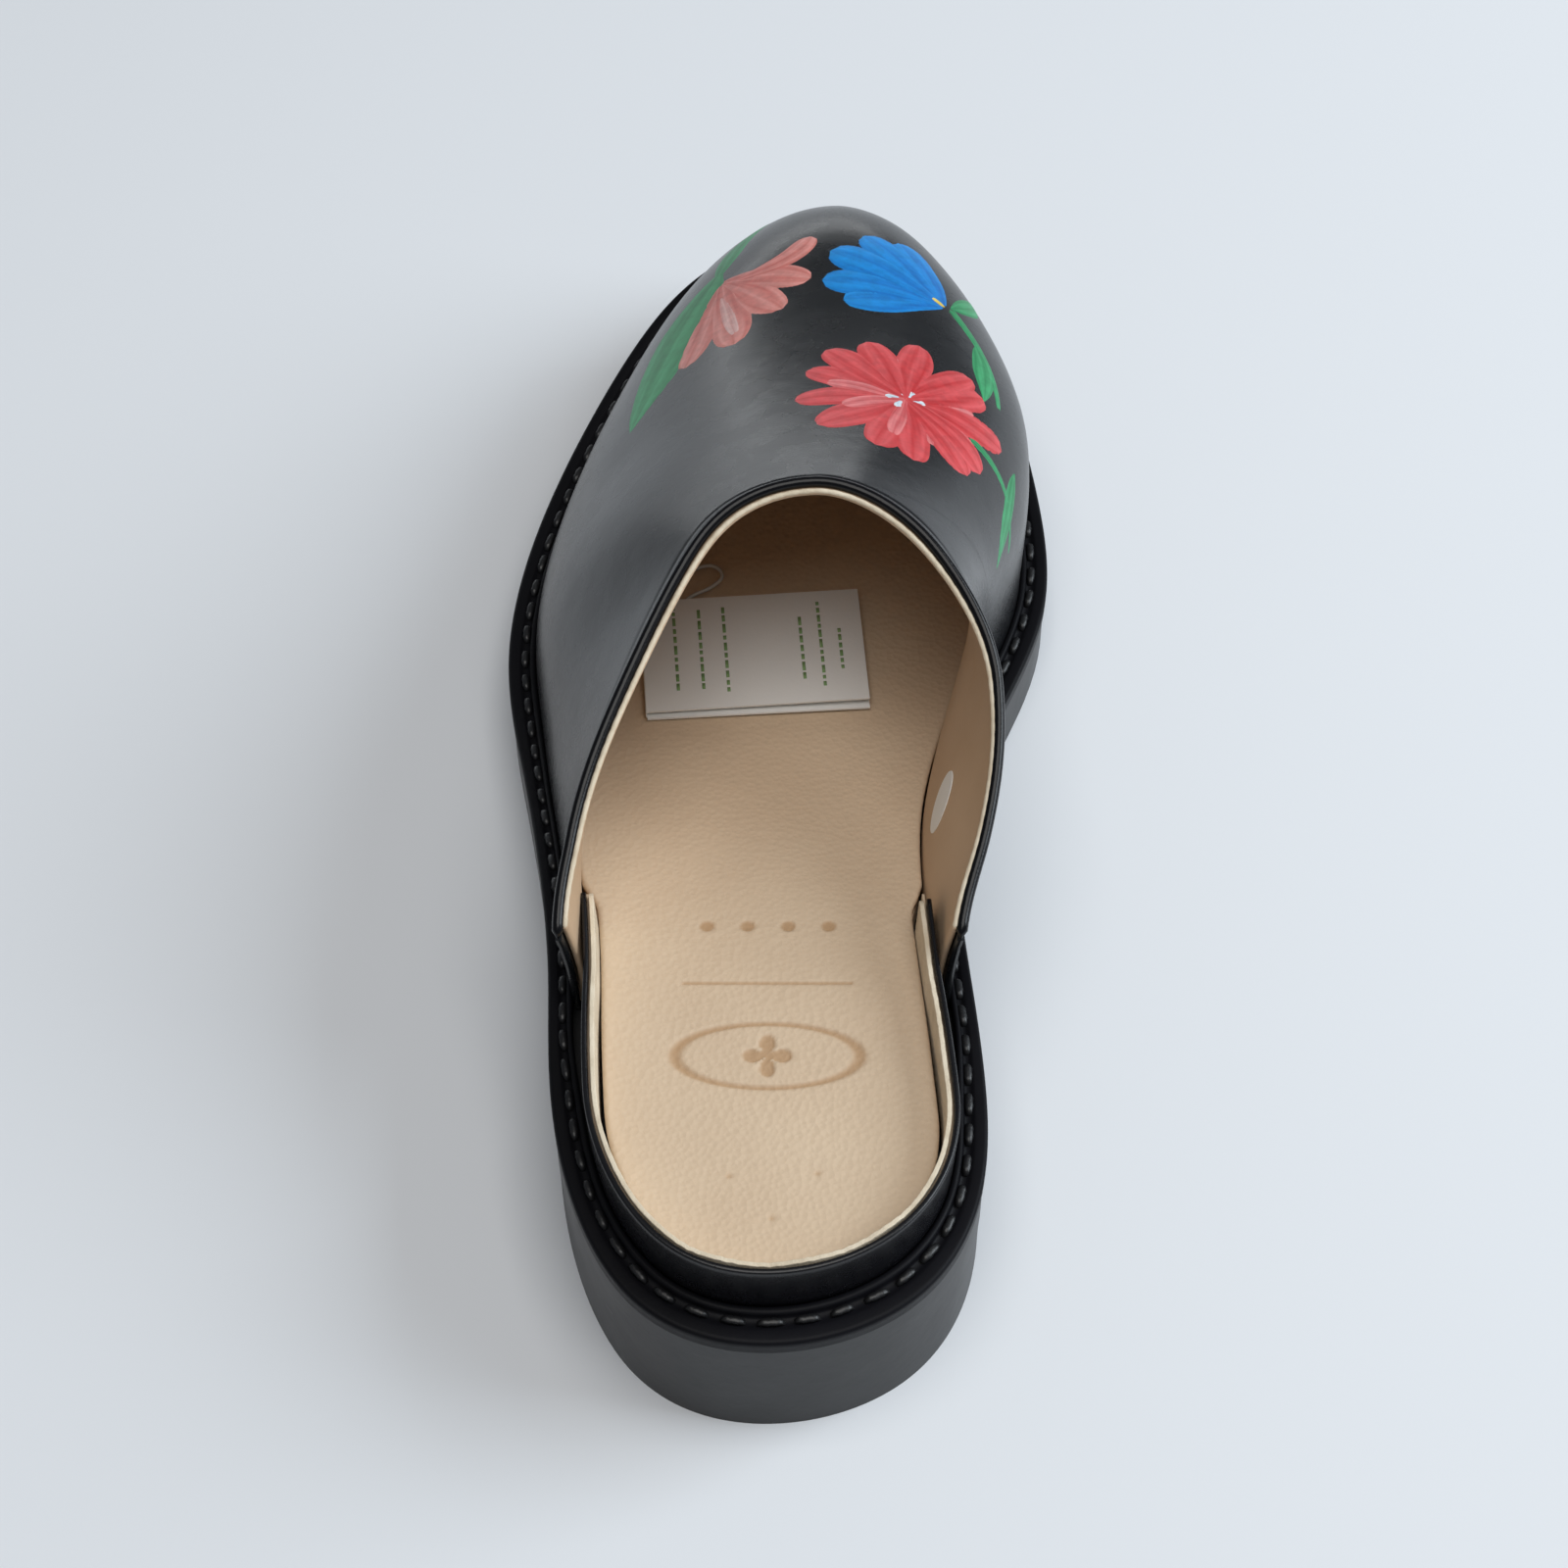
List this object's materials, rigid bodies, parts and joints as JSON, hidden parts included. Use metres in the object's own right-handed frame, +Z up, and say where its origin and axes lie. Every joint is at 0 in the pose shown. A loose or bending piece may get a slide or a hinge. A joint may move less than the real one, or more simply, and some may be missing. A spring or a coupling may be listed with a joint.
{
  "type": "leather mule shoe",
  "caption": "Left-foot backless leather mule with a closed almond toe painted with flowers, a low heel rim, a stitched welt all round and a layered low-heeled sole.",
  "frame": {"origin": "centre of the bounding box in plan, on the ground under the heel and the ball tread", "axes": "+Y from heel to toe, +X to the inner (medial) side of the left foot, +Z up"},
  "size_m": [0.1028, 0.2612, 0.08],
  "materials": {
    "black_leather": "smooth semi-gloss black calf",
    "black_edge": "glossy folded black leather piping",
    "cream_lining": "undyed lining leather with a raw trimmed edge",
    "sock_leather": "pebbled beige sock leather",
    "board": "compressed fibre board",
    "foam": "soft latex foam",
    "cork": "granulated cork",
    "steel": "spring steel",
    "welt_leather": "satin black welt leather",
    "sole_rubber": "satin black sole with a buffed edge",
    "thread": "waxed black linen thread",
    "brass": "brass heel nails",
    "stiffener": "thermoplastic reinforced fibre",
    "card": "uncoated white card",
    "sticker": "white paper sticker",
    "nylon": "thin clear nylon loop"
  },
  "bodies": {
    "shoe": {"vamp": "black_leather", "topline_binding": "black_edge", "vamp_backer": "stiffener", "toe_puff": "stiffener", "vamp_lining": "cream_lining", "heel_rim": "black_leather", "rim_stiffener": "stiffener", "rim_lining": "cream_lining", "sock_liner": "sock_leather", "sock_foam": "foam", "insole_board": "board", "cork_filler": "cork", "shank": "steel", "welt": "welt_leather", "welt_stitches": "thread", "midsole": "sole_rubber", "outsole": "sole_rubber", "heel_block": "sole_rubber", "top_piece": "sole_rubber", "heel_nails": "brass", "inspection_sticker": "sticker"},
    "tag": {"hang_tag": "card", "tag_loop": "nylon"}
  },
  "joints": [
    {"name": "tag_lift_out", "type": "slide", "parent": "shoe", "child": "tag", "axis": [0.1301, -0.8004, 0.5853], "range_m": [0, 0.14]}
  ]
}
